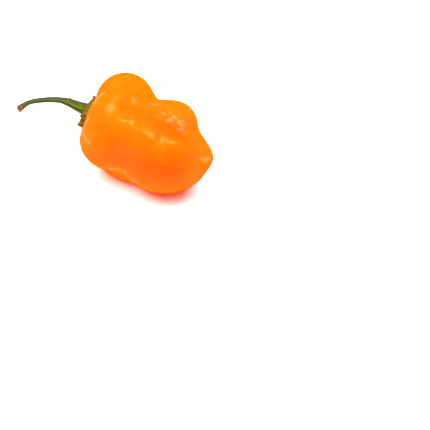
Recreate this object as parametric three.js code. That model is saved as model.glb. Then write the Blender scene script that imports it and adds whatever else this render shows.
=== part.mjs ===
// A ripe habanero chilli, as picked and lying on its side: a lobed pod, the green calyx that caps
// its shoulder, and the curved stem with its cut end.
// Millimetres, +Z up, +X from the stem towards the pod's tip, the surface it lies on at z = 0.
import * as THREE from "three";
import { mergeVertices } from "three/addons/utils/BufferGeometryUtils.js";

// Where the calyx sits on the pod's long axis.
const seat = new THREE.Vector3(-9.8, 0.6, 17.9);

// The pod is a few swollen chambers grown into each other. Each lobe is an ellipsoid: its middle is
// `along` the axis from the seat and `out` from the axis at `angle` (0 away from the viewer, 90 up,
// 180 towards the viewer, 270 down), `half` is its half size along, across and up, `pitch` lifts its
// far end, and `blend` is how softly it runs into the lobes before it.
const lobes = {
  core: { along: 20.5, angle: 0, out: 0, half: [19.2, 11.5, 11.5], blend: 1 },
  farShoulder: { along: 10.4, angle: 38, out: 7, half: [9.9, 10, 9.8], blend: 3 },
  farLower: { along: 28.6, angle: 42, out: 4.5, half: [8.6, 9.5, 7.9], blend: 2.5 },
  underLower: { along: 29, angle: 252, out: 7.3, half: [12, 9.5, 11.4], blend: 4 },
  farUnder: { along: 13.5, angle: 303, out: 8.5, half: [9.5, 8.5, 11.2], blend: 3 },
  nearLower: { along: 28.5, angle: 209, out: 6.4, half: [14, 11.2, 11.8], blend: 4 },
  nearTip: { along: 37.5, angle: 212, out: 4.6, half: [6.5, 6, 6], blend: 5 },
  nearShoulder: { along: 11.3, angle: 196, out: 6.9, half: [10.4, 10, 10.3], blend: 4 },
  topShoulder: { along: 11.5, angle: 100, out: 6.5, half: [7.5, 8, 7], blend: 4 },
  underShoulder: { along: 16.2, angle: 257, out: 10.1, half: [14.2, 10.6, 8.4], blend: 1.5 },
  ridge: { along: 21, angle: 143, out: 8.5, half: [17, 6, 6], pitch: -4, blend: 4 },
  farTip: { along: 36.5, angle: 60, out: 1.5, half: [5, 3.4, 3.4], blend: 4 },
  tip: { along: 42.1, angle: 215, out: 1.2, half: [2.8, 2.5, 2.3], blend: 5 },
};

// Swellings and dimples on the lobes: the middle from the seat, how far each spreads, and how
// far it lifts the skin.
const swellings = {
  shoulder: { at: [6.2, -6, 10.3], spread: 3.4, lift: 1.2 },
  ridgeEnd: { at: [39.2, -7.3, 6.5], spread: 3.5, lift: 1.5 },
  farLobe: { at: [34.2, 3, 9.3], spread: 3.2, lift: 1.1 },
  dimple: { at: [16, -2.2, 13.2], spread: 2.4, lift: -0.8 },
  calyxHollow: { at: [0.6, -3.4, 5.8], spread: 2.5, lift: -1.4 },
};

// The shallow dish in the shoulder that the calyx lies in.
const dish = { along: -5.8, half: [5.5, 10, 10], blend: 3 };

const podMesh = {
  around: 64,
  along: 42,
  reach: 40, // farther from the axis than any of the skin
  fanMiddle: 21, // the rays that find the skin fan out from a stretch of the axis: its middle,
  fanHalf: 11, // and half its length
};

// A saucer of leaf tissue in the dish, with a cone in its middle that carries the stem.
const calyx = {
  around: 66,
  along: 14, // rows from the middle of the underside round the rim to the middle of the cone
  radius: 5.2,
  neckRadius: 2,
  neckAlong: -2.5, // where the cone ends and the stem begins
  rimThickness: 0.7,
  toothHalfAngle: 21,
  toothLength: 0.9,
  curlFrom: 0.72, // share of the radius where the teeth begin to bend
};
// The angle of each tooth round the axis, and how far its tip curls back towards the stem.
const teeth = [
  { angle: 24, curl: 0.1 },
  { angle: 68, curl: 1.4 },
  { angle: 150, curl: 3.1 },
  { angle: 184, curl: 0.9 },
  { angle: 217, curl: 3.6 },
  { angle: 270, curl: 1.6 },
  { angle: 330, curl: 1.2 },
];
const gap = 0.3; // between pieces that grow on each other

// The stem's middle line from the calyx to the cut end, as distances from the seat.
const stemLine = [
  [calyx.neckAlong - gap, 0.3, 0.2],
  [-5.4, 0.4, 0.3],
  [-8.8, 0.6, 0.4],
  [-12.2, 0.4, 0.3],
  [-16.6, -0.7, -0.5],
  [-20.4, -2, -1.5],
  [-23, -3.3, -2.5],
  [-24.4, -4.7, -3.5],
  [-25.2, -5.6, -4.2],
];
const stem = {
  // its radius at each point of the middle line
  radii: [2, 1.75, 1.35, 0.97, 0.85, 0.78, 0.76, 0.95, 1.13],
  ribs: 5,
  ribDepth: 0.07, // share of the radius
  around: 18,
  along: 30,
};

const degrees = Math.PI / 180;

function smoothMin(a, b, blend) {
  const overlap = Math.max(blend - Math.abs(a - b), 0) / blend;
  return Math.min(a, b) - (overlap * overlap * blend) / 4;
}

function smoothMax(a, b, blend) {
  return -smoothMin(-a, -b, blend);
}

// About how far a point is outside an ellipsoid, given from the ellipsoid's middle.
function outsideEllipsoid(x, y, z, [a, b, c]) {
  const scaled = Math.hypot(x / a, y / b, z / c);
  const slope = Math.hypot(x / (a * a), y / (b * b), z / (c * c));
  return (scaled * (scaled - 1)) / Math.max(slope, 1e-6);
}

// About how far a point is outside the pod's skin. The point is given from the seat.
function outsidePod(x, y, z) {
  let distance = Infinity;
  for (const { along, angle, out, half, pitch = 0, blend } of Object.values(lobes)) {
    const dx = x - along;
    const dy = y - out * Math.cos(angle * degrees);
    const dz = z - out * Math.sin(angle * degrees);
    const c = Math.cos(pitch * degrees);
    const s = Math.sin(pitch * degrees);
    const lobe = outsideEllipsoid(dx * c + dz * s, dy, dz * c - dx * s, half);
    distance = distance === Infinity ? lobe : smoothMin(distance, lobe, blend);
  }
  for (const { at, spread, lift } of Object.values(swellings)) {
    const away = Math.hypot(x - at[0], y - at[1], z - at[2]) / spread;
    distance -= lift * Math.exp(-0.5 * away * away);
  }
  return smoothMax(distance, -outsideEllipsoid(x - dish.along, y, z, dish.half), dish.blend);
}

// The first place along a ray, from the outside in, that is `margin` from the skin.
function meetSkin(start, step, length, margin) {
  const point = (t) => start.clone().addScaledVector(step, t);
  const outside = (t) => {
    const p = point(t);
    return outsidePod(p.x, p.y, p.z) - margin;
  };
  const stride = 0.4;
  let inner = 0;
  while (inner < length && outside(inner) > 0) inner += stride;
  let outer = inner - stride;
  for (let i = 0; i < 24; i++) {
    const middle = (inner + outer) / 2;
    if (outside(middle) > 0) outer = middle;
    else inner = middle;
  }
  return point(outer);
}

// A closed ball of triangles with its poles on X, each vertex moved to where `place` says.
function wrapBall(around, along, place) {
  const ball = new THREE.SphereGeometry(1, around, along).rotateZ(Math.PI / 2);
  ball.deleteAttribute("normal");
  ball.deleteAttribute("uv");
  const geometry = mergeVertices(ball, 1e-4);
  const positions = geometry.getAttribute("position");
  const direction = new THREE.Vector3();
  for (let i = 0; i < positions.count; i++) {
    const moved = place(direction.fromBufferAttribute(positions, i).normalize());
    positions.setXYZ(i, moved.x, moved.y, moved.z);
  }
  geometry.computeVertexNormals();
  return geometry;
}

function makePod() {
  return wrapBall(podMesh.around, podMesh.along, (direction) => {
    const start = new THREE.Vector3(podMesh.fanMiddle + podMesh.fanHalf * direction.x, 0, 0);
    const far = start.clone().addScaledVector(direction, podMesh.reach);
    const skin = meetSkin(far, direction.clone().negate(), podMesh.reach, 0).add(seat);
    // The lowest lobes are pressed flat where they lie on the surface.
    skin.z = Math.max(skin.z, 0);
    return skin;
  });
}

// The tooth at an angle round the axis: `rise` is 1 on its middle line and 0 at its sides.
function toothAt(angle) {
  for (const tooth of teeth) {
    const away = Math.abs(((angle - tooth.angle + 540) % 360) - 180) / calyx.toothHalfAngle;
    if (away < 1) return { rise: 0.5 + 0.5 * Math.cos(Math.PI * away), curl: tooth.curl };
  }
  return { rise: 0, curl: 0 };
}

// The underside lies along the dish. The upper side runs from the rim up to the neck.
function makeCalyx() {
  return wrapBall(calyx.around, calyx.along, (direction) => {
    const angle = Math.atan2(direction.z, direction.y);
    const tooth = toothAt(angle / degrees);
    const share = Math.asin(Math.min(Math.hypot(direction.y, direction.z), 1)) / (Math.PI / 2);
    const reach = share * (calyx.radius + calyx.toothLength * tooth.rise);
    const start = new THREE.Vector3(-12, reach * Math.cos(angle), reach * Math.sin(angle));
    const point = meetSkin(start, new THREE.Vector3(1, 0, 0), 24, gap);
    if (direction.x < 0 && share < 1 - 1e-6) {
      const slope = (reach - calyx.neckRadius) / (calyx.radius - calyx.neckRadius);
      const upper = point.x - calyx.rimThickness;
      point.x = THREE.MathUtils.lerp(calyx.neckAlong, upper, THREE.MathUtils.clamp(slope, 0, 1));
    }
    const curlFrom = calyx.radius * calyx.curlFrom;
    const curl = Math.max((reach - curlFrom) / (calyx.radius + calyx.toothLength - curlFrom), 0);
    point.x -= tooth.curl * tooth.rise * curl * curl;
    return point.add(seat);
  });
}

// A ribbed round bar that thins from the calyx and swells again at the cut.
function makeStem() {
  const { radii, ribs, ribDepth, around, along } = stem;
  const points = stemLine.map(([x, y, z]) => new THREE.Vector3(x, y, z).add(seat));
  const line = new THREE.CatmullRomCurve3(points);
  const thickness = new THREE.SplineCurve(radii.map((radius, i) => new THREE.Vector2(i, radius)));
  const { normals, binormals } = line.computeFrenetFrames(along);
  const bar = new THREE.CylinderGeometry(1, 1, 1, around, along);
  bar.deleteAttribute("normal");
  bar.deleteAttribute("uv");
  const geometry = mergeVertices(bar, 1e-4);
  const positions = geometry.getAttribute("position");
  for (let i = 0; i < positions.count; i++) {
    const share = 0.5 - positions.getY(i);
    const [across, up] = [positions.getX(i), positions.getZ(i)];
    const row = Math.round(share * along);
    const turn = Math.atan2(up, across);
    const t = line.getUtoTmapping(share);
    const radius = thickness.getPoint(t).y * (1 + ribDepth * Math.cos(ribs * turn));
    const point = line.getPoint(t);
    point.addScaledVector(normals[row], across * radius);
    point.addScaledVector(binormals[row], up * radius);
    positions.setXYZ(i, point.x, point.y, point.z);
  }
  geometry.computeVertexNormals();
  return geometry;
}

function piece(name, geometry, look) {
  const mesh = new THREE.Mesh(geometry, new THREE.MeshStandardMaterial({ metalness: 0, ...look }));
  mesh.name = name;
  return mesh;
}

const pepper = new THREE.Group();
pepper.add(
  piece("pod", makePod(), { color: 0xff7d05, roughness: 0.25 }),
  piece("calyx", makeCalyx(), { color: 0x6b6420, roughness: 0.6 }),
  piece("stem", makeStem(), { color: 0x55781f, roughness: 0.5 }),
);

export default pepper;
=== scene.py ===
import bpy
import numpy as np
from mathutils import Matrix, Vector


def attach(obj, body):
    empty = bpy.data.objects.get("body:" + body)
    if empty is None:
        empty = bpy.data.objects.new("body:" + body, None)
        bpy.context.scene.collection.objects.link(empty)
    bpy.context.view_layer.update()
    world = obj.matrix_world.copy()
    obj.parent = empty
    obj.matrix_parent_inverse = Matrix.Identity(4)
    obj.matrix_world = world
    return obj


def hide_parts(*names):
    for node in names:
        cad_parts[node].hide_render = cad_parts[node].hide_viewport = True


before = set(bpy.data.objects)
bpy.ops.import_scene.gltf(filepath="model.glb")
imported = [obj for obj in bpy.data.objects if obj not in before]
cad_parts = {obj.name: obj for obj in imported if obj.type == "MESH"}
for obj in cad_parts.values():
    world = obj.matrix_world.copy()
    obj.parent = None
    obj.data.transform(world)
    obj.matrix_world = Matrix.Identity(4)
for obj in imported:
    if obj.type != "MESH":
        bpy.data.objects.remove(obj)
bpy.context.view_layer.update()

metresPerMm = 0.001
seat = np.array([-9.8, 0.6, 17.9])  # mm, where the calyx sits on the pod's long axis


def linearColor(hexCode):
    channels = [int(hexCode[i:i + 2], 16) / 255 for i in (1, 3, 5)]
    return [c / 12.92 if c <= 0.04045 else ((c + 0.055) / 1.055) ** 2.4 for c in channels] + [1.0]


# Settings go to a node's own options by lower-case name, and to its sockets by label or number.
def addNode(tree, kind, settings=None, links=None):
    node = tree.nodes.new(kind)
    for name, value in (settings or {}).items():
        if isinstance(name, str) and name[0].islower():
            setattr(node, name, value)
        else:
            node.inputs[name].default_value = value
    for socket, source in (links or {}).items():
        tree.links.new(source, node.inputs[socket])
    return node


def newMaterial(name):
    material = bpy.data.materials.new(name)
    material.use_nodes = True
    tree = material.node_tree
    tree.nodes.clear()
    return material, tree


# The noise scale that gives marks of about this many millimetres.
def scaleOf(size):
    return 1 / (size * metresPerMm)


# Camera and light

shot = {
    "seatPixel": (91.0, 112.5),   # where the seat is in the photograph
    "imageSize": 430,
    "elevation": 50,              # degrees
    "azimuth": 26,
    "distance": 400,              # mm
    "lens": 100,                  # mm, on a 36 mm sensor
    "sensor": 36,
}


def makeCamera():
    turn, lift = np.radians(shot["azimuth"]), np.radians(shot["elevation"])
    back = np.array([np.sin(turn) * np.cos(lift), -np.cos(turn) * np.cos(lift), np.sin(lift)])
    right = np.array([np.cos(turn), np.sin(turn), 0.0])
    up = np.cross(back, right)
    pixelsPerUnit = shot["imageSize"] * shot["lens"] / shot["sensor"]
    mmPerPixel = shot["distance"] / pixelsPerUnit
    across = (shot["seatPixel"][0] - shot["imageSize"] / 2) * mmPerPixel
    down = (shot["seatPixel"][1] - shot["imageSize"] / 2) * mmPerPixel
    place = seat - right * across + up * down + back * shot["distance"]
    camera = bpy.data.cameras.new("photoCamera")
    camera.lens = shot["lens"]
    camera.sensor_width = shot["sensor"]
    camera.clip_start = 0.01
    holder = bpy.data.objects.new("photoCamera", camera)
    bpy.context.scene.collection.objects.link(holder)
    turned = Matrix((right, up, back)).transposed().to_4x4()
    holder.matrix_world = Matrix.Translation(Vector(place * metresPerMm)) @ turned
    bpy.context.scene.camera = holder


makeCamera()
print("camera placed")

studio = {
    # name: width in metres, place, watts, whether it shows in the gloss
    "lights": {
        "softbox": (0.18, (-0.03, 0.02, 0.62), 2.0, True),
        "lightTent": (0.8, (0, 0, 0.63), 19.6, False),
    },
    # A lamp inside the pod that shines down and casts no shadow: it stands for the light that comes
    # through the thin flesh and reddens the table where the pod rests.
    "glow": {
        "size": (0.044, 0.022),     # metres
        "place": (0.006, -0.001, 0.007),
        "watts": 0.02,
        "color": "#ff6430",
    },
    "surround": 0.12,               # brightness of the walls round the tent
    "tableSize": 4.0,
}


def addLamp(name, place, watts, glossy):
    lamp = bpy.data.objects.new(name, bpy.data.lights.new(name, "AREA"))
    lamp.data.energy = watts
    lamp.location = place
    lamp.visible_glossy = glossy
    bpy.context.scene.collection.objects.link(lamp)
    return lamp


def makeStudio():
    for name, (width, place, watts, glossy) in studio["lights"].items():
        lamp = addLamp(name, place, watts, glossy)
        lamp.data.size = width
        lamp.rotation_euler = Vector(place).to_track_quat("Z", "Y").to_euler()

    glow = studio["glow"]
    lamp = addLamp("glowThroughFlesh", glow["place"], glow["watts"], False)
    lamp.data.shape = "RECTANGLE"
    lamp.data.size, lamp.data.size_y = glow["size"]
    lamp.data.color = linearColor(glow["color"])[:3]
    lamp.data.use_shadow = False

    world = bpy.data.worlds.new("whiteStudio")
    bpy.context.scene.world = world
    world.use_nodes = True
    walls = world.node_tree.nodes["Background"]
    walls.inputs["Color"].default_value = (1, 1, 1, 1)
    walls.inputs["Strength"].default_value = studio["surround"]
    world.cycles_visibility.glossy = False  # the white walls light the skin but leave no haze on it

    half = studio["tableSize"] / 2
    corners = [(-half, -half, 0), (half, -half, 0), (half, half, 0), (-half, half, 0)]
    mesh = bpy.data.meshes.new("table")
    mesh.from_pydata(corners, [], [(0, 1, 2, 3)])
    table = bpy.data.objects.new("table", mesh)
    table.visible_glossy = False
    bpy.context.scene.collection.objects.link(table)
    material, tree = newMaterial("palePaperSweep")  # matt paper: no reflection, only soft shadow
    shader = addNode(tree, "ShaderNodeBsdfPrincipled", {
        "Base Color": linearColor("#f4f1f4"), "Roughness": 0.9, "Specular IOR Level": 0.0})
    addNode(tree, "ShaderNodeOutputMaterial", {}, {"Surface": shader.outputs["BSDF"]})
    mesh.materials.append(material)
    bpy.context.scene.view_settings.view_transform = "Standard"


makeStudio()
print("studio lit")


# Shape tools, all in millimetres from the seat

def smoothMin(a, b, blend):
    overlap = np.maximum(blend - np.abs(a - b), 0.0) / blend
    return np.minimum(a, b) - overlap ** 2 * blend / 4


def smoothStep(low, high, value):
    t = np.clip((value - low) / (high - low), 0, 1)
    return t * t * (3 - 2 * t)


def outsideEllipsoid(points, middle, half, pitch=0):
    c, s = np.cos(np.radians(pitch)), np.sin(np.radians(pitch))
    d = points - np.array(middle)
    along, across, up = d[:, 0] * c + d[:, 2] * s, d[:, 1], d[:, 2] * c - d[:, 0] * s
    a, b, h = half
    scaled = np.sqrt((along / a) ** 2 + (across / b) ** 2 + (up / h) ** 2)
    slope = np.sqrt((along / a ** 2) ** 2 + (across / b ** 2) ** 2 + (up / h ** 2) ** 2)
    return scaled * (scaled - 1) / np.maximum(slope, 1e-6)


# 1 in the middle and fading round it; `spread` is one distance, or one for each direction.
def fading(points, middle, spread):
    away = (points - np.array(middle)) / np.array(spread)
    return np.exp(-0.5 * np.sum(away ** 2, axis=1))


# Degrees from the middle angle to another, between -180 and 180.
def degreesFrom(middle, angle):
    return (angle - middle + 540) % 360 - 180


# The distance of each point from a bent line.
def fromLine(points, line):
    nearest = np.full(len(points), np.inf)
    for start, end in zip(np.array(line[:-1], float), np.array(line[1:], float)):
        way = end - start
        share = np.clip((points - start) @ way / (way @ way), 0, 1)
        nearest = np.minimum(nearest, np.linalg.norm(points - start - share[:, None] * way, axis=1))
    return nearest


# A sum of seeded waves in all directions: smooth, uneven swelling of about one wavelength.
def waves(points, wavelength, count, seed):
    shortest, longest = 0.75, 1.35  # times the wavelength
    draw = np.random.default_rng(seed)
    ways = draw.normal(size=(count, 3))
    ways /= np.linalg.norm(ways, axis=1)[:, None]
    lengths = wavelength * draw.uniform(shortest, longest, count)
    starts = draw.uniform(0, 2 * np.pi, count)
    total = np.zeros(len(points))
    for way, length, start in zip(ways, lengths, starts):
        total += np.sin(points @ way * (2 * np.pi / length) + start)
    return total / np.sqrt(count / 2)


# A closed skin of quads, with triangles round its two poles on X. place() turns unit directions
# into points, and gives the marks that the material reads at each of them.
def wrapBall(name, around, rows, place):
    tilt = np.linspace(0, np.pi, rows + 1)[1:-1]
    turn = np.arange(around) / around * 2 * np.pi
    x = np.repeat(-np.cos(tilt), around)
    ring = np.repeat(np.sin(tilt), around)
    y, z = ring * np.tile(np.cos(turn), rows - 1), ring * np.tile(np.sin(turn), rows - 1)
    directions = np.vstack([[-1, 0, 0], np.column_stack([x, y, z]), [1, 0, 0]])
    points, marks = place(directions)
    faces = []
    for row in range(rows - 2):
        a = 1 + row * around + np.arange(around)
        b = 1 + row * around + (np.arange(around) + 1) % around
        faces += np.column_stack([a, a + around, b + around, b]).tolist()
    last = len(directions) - 1
    for k in range(around):
        m = (k + 1) % around
        faces.append([0, 1 + k, 1 + m])
        faces.append([last, last - around + m, last - around + k])
    mesh = bpy.data.meshes.new(name)
    mesh.from_pydata(((points + seat) * metresPerMm).tolist(), [], faces)
    for mark, values in marks.items():
        layer = mesh.attributes.new(mark, "FLOAT", "POINT")
        layer.data.foreach_set("value", np.asarray(values, np.float32))
    mesh.shade_smooth()
    piece = bpy.data.objects.new(name, mesh)
    bpy.context.scene.collection.objects.link(piece)
    return piece


# Pod

podSkin = {
    # along the axis from the seat, degrees round the axis, out from the axis,
    # half sizes, pitch, softness of the join
    "lobes": [
        (20.5, 0, 0, (19.2, 11.5, 11.5), 0, 1),       # core
        (10.4, 38, 7, (9.9, 10, 9.8), 0, 3),          # far shoulder
        (28.6, 42, 4.5, (8.6, 9.5, 7.9), 0, 2.5),     # far lower
        (29, 252, 7.3, (12, 9.5, 11.4), 0, 4),        # under lower
        (13.5, 303, 8.5, (9.5, 8.5, 11.2), 0, 3),     # far under
        (28.5, 209, 6.4, (14, 11.2, 11.8), 0, 4),     # near lower
        (37.5, 212, 4.6, (6.5, 6, 6), 0, 5),          # near tip
        (11.3, 196, 6.9, (10.4, 10, 10.3), 0, 4),     # near shoulder
        (11.5, 100, 6.5, (7.5, 8, 7), 0, 4),          # top shoulder
        (16.2, 257, 10.1, (14.2, 10.6, 8.4), 0, 1.5),  # under shoulder
        (21, 143, 8.5, (17, 6, 6), -4, 4),            # ridge
        (36.5, 60, 1.5, (5, 3.4, 3.4), 0, 4),         # far tip
        (42.1, 215, 1.2, (2.8, 2.5, 2.3), 0, 5),      # tip
    ],
    # middle from the seat, spread, lift
    "swellings": [
        ((6.2, -6, 10.3), 3.4, 1.2),      # shoulder
        ((39.2, -7.3, 6.5), 3.5, 1.5),    # end of the ridge
        ((34.2, 3, 9.3), 3.2, 1.1),       # far lobe
        ((16, -2.2, 13.2), 2.4, -0.8),    # dimple below the dome
        ((0.6, -3.4, 5.8), 2.5, -1.4),    # hollow beside the calyx
    ],
    # the same for finer forms, lifted from the finished skin
    "relief": [
        ((12.6, -7.8, 12.2), (1.3, 2.5, 2.5), -0.35),   # three waists across the ridge
        ((21, -8.8, 11.1), (1.4, 2.5, 2.5), -0.35),
        ((31.6, -8.9, 9.7), (1.3, 2.5, 2.5), -0.3),
        ((17.4, -8.4, 11.5), (2.6, 1.2, 1.2), 0.16),    # the crest between them
        ((26.4, -9.5, 10.4), (3, 1.8, 1.8), 0.22),
        ((36, -8.2, 9.1), (2.6, 1.8, 1.8), 0.32),
        ((17.2, 1.8, 12.3), 1.1, 0.45),                 # a small bump at the foot of the dome
        ((15.8, -10.6, 9.6), 2.2, 0.25),                # gentle swellings just below the ridge
        ((27.6, -12, 8), 2.2, 0.4),
        ((32, -11.4, 8), 2.2, 0.4),
        ((44.4, -4.6, 0.2), 1.0, 0.6),                  # the nub where the flower was
        ((44.2, -3.4, 2.6), (1.6, 1.6, 0.6), -0.3),     # the crease over it
        ((44.6, -4, 0.9), (1.4, 1.6, 0.8), 0.35),
        ((4.2, -7.4, 10.2), (2.2, 2.4, 2.2), -0.8),     # where the shoulder gives room to the calyx
        ((4.3, -9.3, 8.2), (2, 2, 2.4), -0.4),
    ],
    # middle from the seat, spread, and how much redder or yellower the flesh is painted there: painted
    # shade makes it redder, painted light yellower
    "paintedLightAndShade": [
        ((28, -3.5, 11.4), (8, 3, 3), -0.32),           # painted shade in the valley between ridge and far lobe
        ((36, -5, 9.5), (4.5, 3, 3), -0.25),
        ((34, -13.8, 1.5), (9, 3.5, 3), -0.42),         # painted shade: a deep band along the near side
        ((18, -15.5, -0.5), (7, 3, 2), -0.12),
        ((18, -14, -9), (8, 5, 3.5), 1.0),              # painted light on the lobe it lies on
        ((34, -13.5, -8), (10, 4, 3.5), 0.25),
        ((3, -13, 0), (4, 5, 6), 0.55),                 # painted light at the two ends
        ((43, -8.5, -1.5), (3, 4, 3.5), 0.35),
    ],
    # line from the seat, width, lift, and how pale the painted glint is along it
    "folds": [
        ([(6.7, -1.5, 13), (5.6, -2, 12.3), (5.2, -4.3, 11.9), (5.5, -5.9, 11.9)], 0.25, 0.08, 0.7),
        ([(5.5, -9.8, 9.2), (4.4, -10.2, 6.8), (3.8, -10.7, 4.6), (3.9, -11.5, 3.6), (5, -12.8, 3.4),
          (6.7, -14.2, 3.1), (8.3, -15, 3)], 0.25, 0.05, 0.5),
        ([(14.3, -15.3, -6.1), (17.2, -14.9, -5.2), (19.4, -14.8, -5.2), (21.6, -15.1, -5.8),
          (25.5, -16.2, -6)], 0.35, -0.08, 0.45),
        ([(22.7, 2.5, 11.2), (24.4, 4.1, 10.9)], 0.3, -0.03, 0.2),
        # over the nub at the tip
        ([(43.2, -4, 3.4), (44, -2.8, 2.8), (44.6, -1.1, 2.2)], 0.3, -0.12, 0),
        ([(43.4, -4.9, 2.9), (44.4, -4.1, 1.7), (45.1, -2.5, 1.3)], 0.3, 0.08, 0.3),
    ],
    # the hollow that the calyx sits in: middle, half sizes, softness of its rim
    "dish": ((-5.8, 0, 0), (5.5, 10, 10), 3),
    "shoulderEnd": (2, 5),            # along the axis, where the marks round the stalk fade out
    "stalkRing": (4.8, 7.6),          # from the axis, where the browner ring fades out
    "puckers": {                      # the ribs that run into the dish
        "count": 11,
        "height": 0.1,
        "sway": 0.6,                  # radians by which they stand unevenly
        "fadeIn": (2, 5),             # from the axis
        "fadeOut": (6.5, 9.5),
    },
    "wrinkles": {                     # the patch of small ones on the far lobe
        "middle": (32.3, -0.3, 10.6),
        "spread": (4.7, 1.7, 3),
        "sharpness": 1.3,             # how quickly the patch ends
        "wavelength": 1.7,
        "stretch": (0.65, 0.9, 1),    # makes them longer than wide
        "height": 0.07,
        "glintPaleness": 0.3,              # a painted glint on their crests
        "paleAt": 0.9,                # the crest that has all of it
        "waves": (24, 11),            # number and seed
    },
    # wavelength, height, number of waves and seed: the uneven swelling, then the fine dimples
    "unevenness": [(9.0, 0.05, 25, 4), (2.6, 0.012, 25, 9)],
    "baseTone": 0.62,                 # what the painted light and shade above is added to; yellower when higher
    "around": 300,
    "rows": 300,
    "reach": 40,                      # how far out the rays towards the skin begin
    "fanMiddle": 21,                  # they aim at a stretch of the axis with this middle
    "fanHalf": 11,                    # and half length
}


def outsidePod(points):
    distance = None
    for along, angle, out, half, pitch, blend in podSkin["lobes"]:
        turn = np.radians(angle)
        middle = (along, out * np.cos(turn), out * np.sin(turn))
        lobe = outsideEllipsoid(points, middle, half, pitch)
        distance = lobe if distance is None else smoothMin(distance, lobe, blend)
    for middle, spread, lift in podSkin["swellings"]:
        distance = distance - lift * fading(points, middle, spread)
    middle, half, blend = podSkin["dish"]
    return -smoothMin(-distance, outsideEllipsoid(points, middle, half), blend)


# Steps along each ray from outside until it is `margin` from the skin.
def meetSkin(starts, steps, margin=0.0):
    travelled = np.zeros(len(starts))
    caution, rounds = 0.8, 70
    for _ in range(rounds):
        travelled += caution * (outsidePod(starts + steps * travelled[:, None]) - margin)
    return starts + steps * travelled[:, None]


def skinNormals(points):
    nudge = 0.02
    slopes = [outsidePod(points + nudge * axis) - outsidePod(points - nudge * axis) for axis in np.eye(3)]
    normals = np.column_stack(slopes)
    return normals / np.linalg.norm(normals, axis=1)[:, None]


def placePod(directions):
    starts = np.zeros_like(directions)
    starts[:, 0] = podSkin["fanMiddle"] + podSkin["fanHalf"] * directions[:, 0]
    points = meetSkin(starts + podSkin["reach"] * directions, -directions)
    fromAxis = np.hypot(points[:, 1], points[:, 2])
    onShoulder = 1 - smoothStep(*podSkin["shoulderEnd"], points[:, 0])

    lift = np.zeros(len(points))
    for middle, spread, height in podSkin["relief"]:
        lift += height * fading(points, middle, spread)
    # pale: a painted glint along each fold and on the wrinkle crests
    pale = np.zeros(len(points))
    for line, width, height, glintPaleness in podSkin["folds"]:
        onFold = np.exp(-0.5 * (fromLine(points, line) / width) ** 2)
        lift += height * onFold
        pale = np.maximum(pale, glintPaleness * onFold)

    puckers = podSkin["puckers"]
    around = np.arctan2(points[:, 2], points[:, 1])
    sway = puckers["sway"] * np.sin(3 * around + 1)
    puckered = onShoulder * smoothStep(*puckers["fadeIn"], fromAxis)
    puckered *= 1 - smoothStep(*puckers["fadeOut"], fromAxis)
    lift += puckers["height"] * np.cos(puckers["count"] * around + sway) * puckered

    wrinkles = podSkin["wrinkles"]
    wrinkled = fading(points, wrinkles["middle"], wrinkles["spread"]) ** wrinkles["sharpness"]
    crests = waves(points * wrinkles["stretch"], wrinkles["wavelength"], *wrinkles["waves"]) * wrinkled
    lift += wrinkles["height"] * crests
    pale = np.maximum(pale, wrinkles["glintPaleness"] * smoothStep(0, wrinkles["paleAt"], crests))
    for wavelength, height, count, seed in podSkin["unevenness"]:
        lift += height * waves(points, wavelength, count, seed)

    skin = points + skinNormals(points) * lift[:, None]
    skin[:, 2] = np.maximum(skin[:, 2], -seat[2])  # nothing goes through the table
    # the flesh's own tone plus the painted light and shade
    toneAndPaintedShading = np.full(len(points), podSkin["baseTone"])
    for middle, spread, shift in podSkin["paintedLightAndShade"]:
        toneAndPaintedShading += shift * fading(points, middle, spread)
    return skin, {
        "toneAndPaintedShading": toneAndPaintedShading,
        "nearStalk": onShoulder * (1 - smoothStep(*podSkin["stalkRing"], fromAxis)),
        "wrinkled": wrinkled,
        "paintedGlint": pale,
    }


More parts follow.
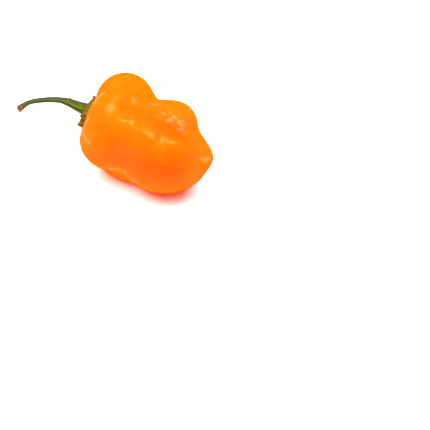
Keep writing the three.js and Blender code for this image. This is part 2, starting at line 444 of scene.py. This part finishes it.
def makeSkinMaterial():
    # Ripe habanero: saturated orange, with painted shade that makes it redder in the valley and along
    # the near side and painted light that makes it yellower at the ends and underneath, with faint
    # lengthwise streaks, a browner ring by the calyx, painted pale glints along the folds and on the
    # wrinkle crests, and a soft gloss over fine unevenness.
    material, tree = newMaterial("ripeOrangeChilliSkin")
    where = addNode(tree, "ShaderNodeTexCoord").outputs["Object"]
    marks = {}
    for mark in ("toneAndPaintedShading", "nearStalk", "wrinkled", "paintedGlint"):
        marks[mark] = addNode(tree, "ShaderNodeAttribute", {"attribute_name": mark}).outputs["Fac"]
    blotches = addNode(tree, "ShaderNodeTexNoise", {"Scale": scaleOf(7), "Detail": 3.0}, {
        "Vector": where})
    stretched = addNode(tree, "ShaderNodeMapping", {
        "Scale": (scaleOf(16), scaleOf(1.4), scaleOf(1.4))}, {"Vector": where})
    streaks = addNode(tree, "ShaderNodeTexNoise", {"Scale": 1.0, "Detail": 2.0}, {
        "Vector": stretched.outputs[0]})
    # The grain of the real skin is finer: this is as coarse as it needs to be to show.
    grain = addNode(tree, "ShaderNodeTexNoise", {"Scale": scaleOf(0.5), "Detail": 2.0}, {
        "Vector": where})

    blotched = addNode(tree, "ShaderNodeMath", {"operation": "MULTIPLY_ADD", 1: 0.25}, {
        0: blotches.outputs[0], 2: marks["toneAndPaintedShading"]})
    streaked = addNode(tree, "ShaderNodeMath", {"operation": "MULTIPLY_ADD", 1: 0.15}, {
        0: streaks.outputs[0], 2: blotched.outputs[0]})
    # the flesh's ripeness together with the painted light and shade
    ripenessAndPaintedShading = addNode(tree, "ShaderNodeMapRange", {"From Min": 0.3, "From Max": 1.3}, {
        "Value": streaked.outputs[0]})
    orange = addNode(tree, "ShaderNodeMix", {
        "data_type": "RGBA", 6: linearColor("#fe3e02"), 7: linearColor("#fe6002")}, {
        0: ripenessAndPaintedShading.outputs[0]})
    ring = addNode(tree, "ShaderNodeMath", {"operation": "MULTIPLY"}, {
        0: marks["nearStalk"], 1: blotches.outputs[0]})
    browned = addNode(tree, "ShaderNodeMix", {"data_type": "RGBA", 7: linearColor("#c84a06")}, {
        0: ring.outputs[0], 6: orange.outputs[2]})
    # painted highlight: pale glints along the folds and on the wrinkle crests
    withPaintedGlints = addNode(tree, "ShaderNodeMix", {"data_type": "RGBA", 7: linearColor("#ff8a66")}, {
        0: marks["paintedGlint"], 6: browned.outputs[2]})
    gloss = addNode(tree, "ShaderNodeMapRange", {
        "From Min": 0.3, "From Max": 0.7, "To Min": 0.22, "To Max": 0.28}, {
        "Value": blotches.outputs[0]})
    rougher = addNode(tree, "ShaderNodeMath", {"operation": "MULTIPLY_ADD", 1: 0.08}, {
        0: marks["wrinkled"], 2: gloss.outputs[0]})
    bump = addNode(tree, "ShaderNodeBump", {"Strength": 0.3, "Distance": 0.02 * metresPerMm}, {
        "Height": grain.outputs[0]})
    shader = addNode(tree, "ShaderNodeBsdfPrincipled", {
        "IOR": 1.45,
        "Specular IOR Level": 0.36,
        "Specular Tint": linearColor("#ffdb74"),
        "Subsurface Weight": 0.7,
        "Subsurface Radius": (1.0, 0.1, 0.02),
        "Subsurface Scale": 15 * metresPerMm,
        "Sheen Weight": 0.25,
        "Sheen Roughness": 0.4,
        "Sheen Tint": linearColor("#ffa610"),
    }, {"Base Color": withPaintedGlints.outputs[2], "Roughness": rougher.outputs[0], "Normal": bump.outputs[0]})
    addNode(tree, "ShaderNodeOutputMaterial", {}, {"Surface": shader.outputs["BSDF"]})
    return material


def makePod():
    piece = wrapBall("podSkin", podSkin["around"], podSkin["rows"], placePod)
    piece.data.materials.append(makeSkinMaterial())
    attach(piece, "root")
    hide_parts("pod")


makePod()
print("pod made")


# Calyx

calyxCap = {
    "around": 320,
    "rows": 72,
    "radius": 5.2,
    "neckRadius": 2.0,           # of the cone that carries the stem
    "neckAlong": -2.5,           # where the cone ends
    "start": -12.0,              # along the axis, where the rays towards the pod begin
    "gap": 0.05,                 # between the calyx and the pod's skin
    "rim": 0.95,                 # how far the upper side stands over the underside
    "rimEdge": 0.35,             # share of that left at the edge
    "rimThins": (0.8, 1),        # from here to here, as shares of the way to the edge
    "fuller": (190, 1.3),        # the angle where the rim stands higher, and by what share
    # angle round the axis, and how far the tip curls back towards the stem
    "teeth": [(24, 0.1), (68, 1.2), (150, 2.9), (192, 2.4), (230, 3), (270, 1.6), (330, 1.2)],
    "toothHalfAngle": 23,
    "toothLength": 1.2,
    "curlFrom": 0.72,            # share of the radius where the teeth begin to bend
    # both fade in between two shares of the way to the edge; waves are a number and a seed
    "veins": {"count": 24, "height": 0.1, "sway": 1.2, "fadeIn": (0.35, 0.6)},
    "lumps": {"height": 0.06, "wavelength": 1.6, "waves": (20, 3), "fadeIn": (0.3, 0.6)},
}


def placeCalyx(directions):
    cap, veins, lumps = calyxCap, calyxCap["veins"], calyxCap["lumps"]
    angle = np.arctan2(directions[:, 2], directions[:, 1])
    fromPole = np.clip(np.hypot(directions[:, 1], directions[:, 2]), 0, 1)
    share = np.arcsin(fromPole) / (np.pi / 2)  # 0 in the middle, 1 at the edge
    rise, curl = np.zeros(len(angle)), np.zeros(len(angle))
    for middle, toothCurl in cap["teeth"]:
        away = np.abs(degreesFrom(middle, np.degrees(angle))) / cap["toothHalfAngle"]
        tooth = 0.5 + 0.5 * np.cos(np.pi * away)
        here = (away < 1) & (tooth > rise)
        rise[here] = tooth[here]
        curl[here] = toothCurl
    reach = share * (cap["radius"] + cap["toothLength"] * rise)
    starts = np.column_stack([
        np.full(len(reach), cap["start"]), reach * np.cos(angle), reach * np.sin(angle)])
    points = meetSkin(starts, np.tile([1.0, 0, 0], (len(reach), 1)), cap["gap"])
    upper = directions[:, 0] < -1e-9
    slope = np.clip((reach - cap["neckRadius"]) / (cap["radius"] - cap["neckRadius"]), 0, 1)
    fullAngle, fullness = cap["fuller"]
    rim = cap["rim"] * (1 + fullness * np.maximum(np.cos(angle - np.radians(fullAngle)), 0) ** 2)
    rim *= 1 - (1 - cap["rimEdge"]) * smoothStep(*cap["rimThins"], share)
    outer = cap["neckAlong"] * (1 - slope) + (points[:, 0] - rim) * slope
    vein = np.cos(veins["count"] * angle + veins["sway"] * np.sin(2 * angle))
    vein *= smoothStep(*veins["fadeIn"], share)
    lump = lumps["height"] * waves(points, lumps["wavelength"], *lumps["waves"])
    lump *= smoothStep(*lumps["fadeIn"], share)
    outer -= veins["height"] * vein + lump
    points[:, 0] = np.where(upper, outer, points[:, 0])
    longest = 1 + cap["toothLength"] / cap["radius"]
    bend = np.maximum((reach / cap["radius"] - cap["curlFrom"]) / (longest - cap["curlFrom"]), 0)
    points[:, 0] -= curl * rise * bend ** 2
    return points, {"fromNeck": reach / cap["radius"], "vein": vein}


def makeCalyxMaterial():
    # A calyx that has begun to dry: green by the stem, olive further out, brown teeth, pale veins.
    material, tree = newMaterial("dryingCalyxLeaf")
    where = addNode(tree, "ShaderNodeTexCoord").outputs["Object"]
    fromNeck = addNode(tree, "ShaderNodeAttribute", {"attribute_name": "fromNeck"}).outputs["Fac"]
    vein = addNode(tree, "ShaderNodeAttribute", {"attribute_name": "vein"}).outputs["Fac"]
    blotches = addNode(tree, "ShaderNodeTexNoise", {"Scale": scaleOf(1.3), "Detail": 4.0}, {
        "Vector": where})
    fibres = addNode(tree, "ShaderNodeTexNoise", {"Scale": scaleOf(0.25), "Detail": 2.0}, {
        "Vector": where})
    uneven = addNode(tree, "ShaderNodeMath", {"operation": "MULTIPLY_ADD", 1: 0.35}, {
        0: blotches.outputs[0], 2: fromNeck})
    outward = addNode(tree, "ShaderNodeMapRange", {"From Min": 0.55, "From Max": 0.85}, {
        "Value": uneven.outputs[0]})
    dried = addNode(tree, "ShaderNodeMapRange", {"From Min": 1.0, "From Max": 1.25}, {
        "Value": uneven.outputs[0]})
    leaf = addNode(tree, "ShaderNodeMix", {
        "data_type": "RGBA", 6: linearColor("#36440a"), 7: linearColor("#4e4206")}, {
        0: outward.outputs[0]})
    edge = addNode(tree, "ShaderNodeMix", {"data_type": "RGBA", 7: linearColor("#64480a")}, {
        0: dried.outputs[0], 6: leaf.outputs[2]})
    lines = addNode(tree, "ShaderNodeMapRange", {
        "From Min": 0.2, "From Max": 1.0, "To Max": 0.35}, {"Value": vein})
    veined = addNode(tree, "ShaderNodeMix", {"data_type": "RGBA", 7: linearColor("#665c18")}, {
        0: lines.outputs[0], 6: edge.outputs[2]})
    bump = addNode(tree, "ShaderNodeBump", {"Strength": 0.6, "Distance": 0.06 * metresPerMm}, {
        "Height": fibres.outputs[0]})
    shader = addNode(tree, "ShaderNodeBsdfPrincipled", {"Roughness": 0.55, "Specular IOR Level": 0.2}, {
        "Base Color": veined.outputs[2], "Normal": bump.outputs[0]})
    addNode(tree, "ShaderNodeOutputMaterial", {}, {"Surface": shader.outputs["BSDF"]})
    return material


def makeCalyx():
    piece = wrapBall("calyxCap", calyxCap["around"], calyxCap["rows"], placeCalyx)
    piece.data.materials.append(makeCalyxMaterial())
    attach(piece, "root")
    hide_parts("calyx")


makeCalyx()
print("calyx made")


# Stem

stemBar = {
    # middle line from inside the calyx's cone to the cut end, and the radius at each point
    "line": [(-2.1, 0.3, 0.2), (-5.4, 0.4, 0.25), (-8.8, 0.6, 0.3), (-12.2, 0.4, 0.15),
             (-16.6, -0.7, -0.6), (-20.4, -2, -1.6), (-23, -3.3, -2.55), (-24.4, -4.7, -3.5),
             (-25.2, -5.6, -4.2)],
    "radii": [2.2, 1.82, 1.45, 1.09, 0.98, 0.9, 0.86, 1.05, 1.28],
    # angles round the stem of its ribs, with half widths
    "ribs": [(20, 22), (68, 16), (103, 15), (137, 15), (193, 18), (236, 22), (285, 26), (335, 20)],
    "ribHeight": 0.09,           # share of the radius
    "ribMiddle": 0.6,            # share of a rib's height where the radius is measured
    "slant": (0.3, -0.6, 0.75),  # the way that the slanting cut faces
    "slantFrom": 0.85,           # share of the stem before it
    # a small knob on the upper edge; it spreads along the points of the line, and in degrees
    "scar": {"place": 2.05, "angle": 40, "spread": (0.12, 22), "height": 0.22},
    "upperEdge": 48,             # its angle round the stem
    "endShare": 0.05,            # share of the rows that close each end
    "endCurve": 0.6,             # lower brings more of these rows near the rim
    "hollow": 0.3,               # how far the pith has shrunk into the cut
    "hollowCurve": 0.7,          # lower makes the hollow deep further out
    "pithGrain": {"height": 0.05, "wavelength": 0.7, "waves": (12, 6)},
    "around": 160,
    "rows": 300,
}


# A smooth curve through the given values, at places counted from the first to the last.
def throughValues(values, places):
    values = np.array(values, float)
    if values.ndim == 1:
        values = values[:, None]
    padded = np.vstack([2 * values[0] - values[1], values, 2 * values[-1] - values[-2]])
    k = np.clip(np.floor(places).astype(int), 0, len(values) - 2)
    t = (places - k)[:, None]
    a, b, c, d = (padded[k + i] for i in range(4))
    return b + 0.5 * t * (c - a + t * (2 * a - 5 * b + 4 * c - d + t * (3 * (b - c) + d - a)))


def placeStem(directions):
    bar, scar, grain = stemBar, stemBar["scar"], stemBar["pithGrain"]
    turn = np.arctan2(directions[:, 2], directions[:, 1])
    angle = np.degrees(turn)
    share = np.arccos(np.clip(-directions[:, 0], -1, 1)) / np.pi  # 0 at the cut end, 1 at the calyx
    inner = np.clip((share - bar["endShare"]) / (1 - 2 * bar["endShare"]), 0, 1)
    places = (1 - inner) * (len(bar["line"]) - 1)
    nudge = 0.05
    middle = throughValues(bar["line"], places)
    tangent = throughValues(bar["line"], places + nudge) - throughValues(bar["line"], places - nudge)
    tangent /= np.linalg.norm(tangent, axis=1)[:, None]
    side = np.cross(tangent, [0, 0, 1.0])
    side /= np.linalg.norm(side, axis=1)[:, None]
    over = np.cross(side, tangent)

    rib = np.zeros(len(turn))
    for ribAngle, halfWidth in bar["ribs"]:
        away = np.abs(degreesFrom(ribAngle, angle)) / halfWidth
        rib = np.maximum(rib, np.sqrt(np.clip(1 - away ** 2, 0, 1)))
    radius = throughValues(bar["radii"], places)[:, 0]
    radius *= 1 + bar["ribHeight"] * (rib - bar["ribMiddle"])
    alongScar = (places - scar["place"]) / scar["spread"][0]
    roundScar = degreesFrom(scar["angle"], angle) / scar["spread"][1]
    radius += scar["height"] * np.exp(-0.5 * (alongScar ** 2 + roundScar ** 2))

    capped = np.clip(np.minimum(share, 1 - share) / bar["endShare"], 0, 1)
    closing = capped ** bar["endCurve"]
    cut = share < bar["endShare"]
    radius *= closing
    spoke = side * (radius * np.cos(turn))[:, None] + over * (radius * np.sin(turn))[:, None]
    slanted = (spoke @ np.array(bar["slant"])) * smoothStep(bar["slantFrom"], 1, 1 - inner)
    points = middle + spoke - tangent * slanted[:, None]
    sunk = np.where(cut, bar["hollow"] * (1 - closing) ** bar["hollowCurve"], 0)
    grainy = grain["height"] * waves(points, grain["wavelength"], *grain["waves"])
    points -= tangent * (sunk + np.where(cut, grainy, 0))[:, None]
    return points, {
        "alongStem": 1 - inner,
        # 1 along the stem's upper edge, -1 along its lower edge
        "upperSide": np.cos(turn - np.radians(bar["upperEdge"])),
        "rib": rib,
        "onCut": np.where(cut, 1 - capped, 0),
    }


def makeStemMaterial():
    # The stalk: fresh green by the calyx, duller further out, a grey-green weathered upper edge, painted
    # light that makes the lower edge yellow, painted shade in the grooves between the ribs, pale fibres,
    # and a corky brown rim round the dark pith at the cut.
    material, tree = newMaterial("greenChilliStalk")
    where = addNode(tree, "ShaderNodeTexCoord").outputs["Object"]
    marks = {}
    for mark in ("alongStem", "upperSide", "rib", "onCut"):
        marks[mark] = addNode(tree, "ShaderNodeAttribute", {"attribute_name": mark}).outputs["Fac"]
    stretched = addNode(tree, "ShaderNodeMapping", {
        "Scale": (scaleOf(4), scaleOf(0.35), scaleOf(0.35))}, {"Vector": where})
    fibres = addNode(tree, "ShaderNodeTexNoise", {"Scale": 1.0, "Detail": 4.0}, {
        "Vector": stretched.outputs[0]})
    blotches = addNode(tree, "ShaderNodeTexNoise", {"Scale": scaleOf(2.5), "Detail": 3.0}, {
        "Vector": where})

    outward = addNode(tree, "ShaderNodeMapRange", {"From Min": 0.08, "From Max": 0.4}, {
        "Value": marks["alongStem"]})
    green = addNode(tree, "ShaderNodeMix", {
        "data_type": "RGBA", 6: linearColor("#485602"), 7: linearColor("#444522")}, {
        0: outward.outputs[0]})
    wornEdge = addNode(tree, "ShaderNodeMath", {"operation": "MULTIPLY_ADD", 1: 0.5}, {
        0: blotches.outputs[0], 2: marks["upperSide"]})
    worn = addNode(tree, "ShaderNodeMapRange", {"From Min": 0.5, "From Max": 0.85, "To Max": 0.9}, {
        "Value": wornEdge.outputs[0]})
    greyed = addNode(tree, "ShaderNodeMix", {"data_type": "RGBA", 7: linearColor("#262b20")}, {
        0: worn.outputs[0], 6: green.outputs[2]})
    # painted light: a yellow line along the stalk's lower edge
    low = addNode(tree, "ShaderNodeMapRange", {"From Min": -0.6, "From Max": -0.78, "To Max": 0.9}, {
        "Value": marks["upperSide"]})
    paintedLitEdge = addNode(tree, "ShaderNodeMix", {"data_type": "RGBA", 7: linearColor("#8a6c1c")}, {
        0: low.outputs[0], 6: greyed.outputs[2]})
    # painted shade in the grooves between the ribs
    grooveShade = addNode(tree, "ShaderNodeMapRange", {"From Min": 0.75, "From Max": 0.1, "To Max": 0.7}, {
        "Value": marks["rib"]})
    paintedGrooveShade = addNode(tree, "ShaderNodeMix", {"data_type": "RGBA", 7: linearColor("#20290c")}, {
        0: grooveShade.outputs[0], 6: paintedLitEdge.outputs[2]})
    pale = addNode(tree, "ShaderNodeMapRange", {"From Min": 0.5, "From Max": 0.75, "To Max": 0.35}, {
        "Value": fibres.outputs[0]})
    fibrous = addNode(tree, "ShaderNodeMix", {"data_type": "RGBA", 7: linearColor("#62701c")}, {
        0: pale.outputs[0], 6: paintedGrooveShade.outputs[2]})
    cork = addNode(tree, "ShaderNodeMapRange", {"From Min": 0.0, "From Max": 0.12}, {
        "Value": marks["onCut"]})
    corked = addNode(tree, "ShaderNodeMix", {"data_type": "RGBA", 7: linearColor("#a8683c")}, {
        0: cork.outputs[0], 6: fibrous.outputs[2]})
    pith = addNode(tree, "ShaderNodeMapRange", {"From Min": 0.4, "From Max": 0.7}, {
        "Value": marks["onCut"]})
    ended = addNode(tree, "ShaderNodeMix", {"data_type": "RGBA", 7: linearColor("#4a4634")}, {
        0: pith.outputs[0], 6: corked.outputs[2]})
    bump = addNode(tree, "ShaderNodeBump", {"Strength": 0.5, "Distance": 0.05 * metresPerMm}, {
        "Height": fibres.outputs[0]})
    shader = addNode(tree, "ShaderNodeBsdfPrincipled", {"Roughness": 0.5, "Specular IOR Level": 0.12}, {
        "Base Color": ended.outputs[2], "Normal": bump.outputs[0]})
    addNode(tree, "ShaderNodeOutputMaterial", {}, {"Surface": shader.outputs["BSDF"]})
    return material


def makeStem():
    piece = wrapBall("stemBar", stemBar["around"], stemBar["rows"], placeStem)
    piece.data.materials.append(makeStemMaterial())
    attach(piece, "root")
    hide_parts("stem")


makeStem()
print("stem made")
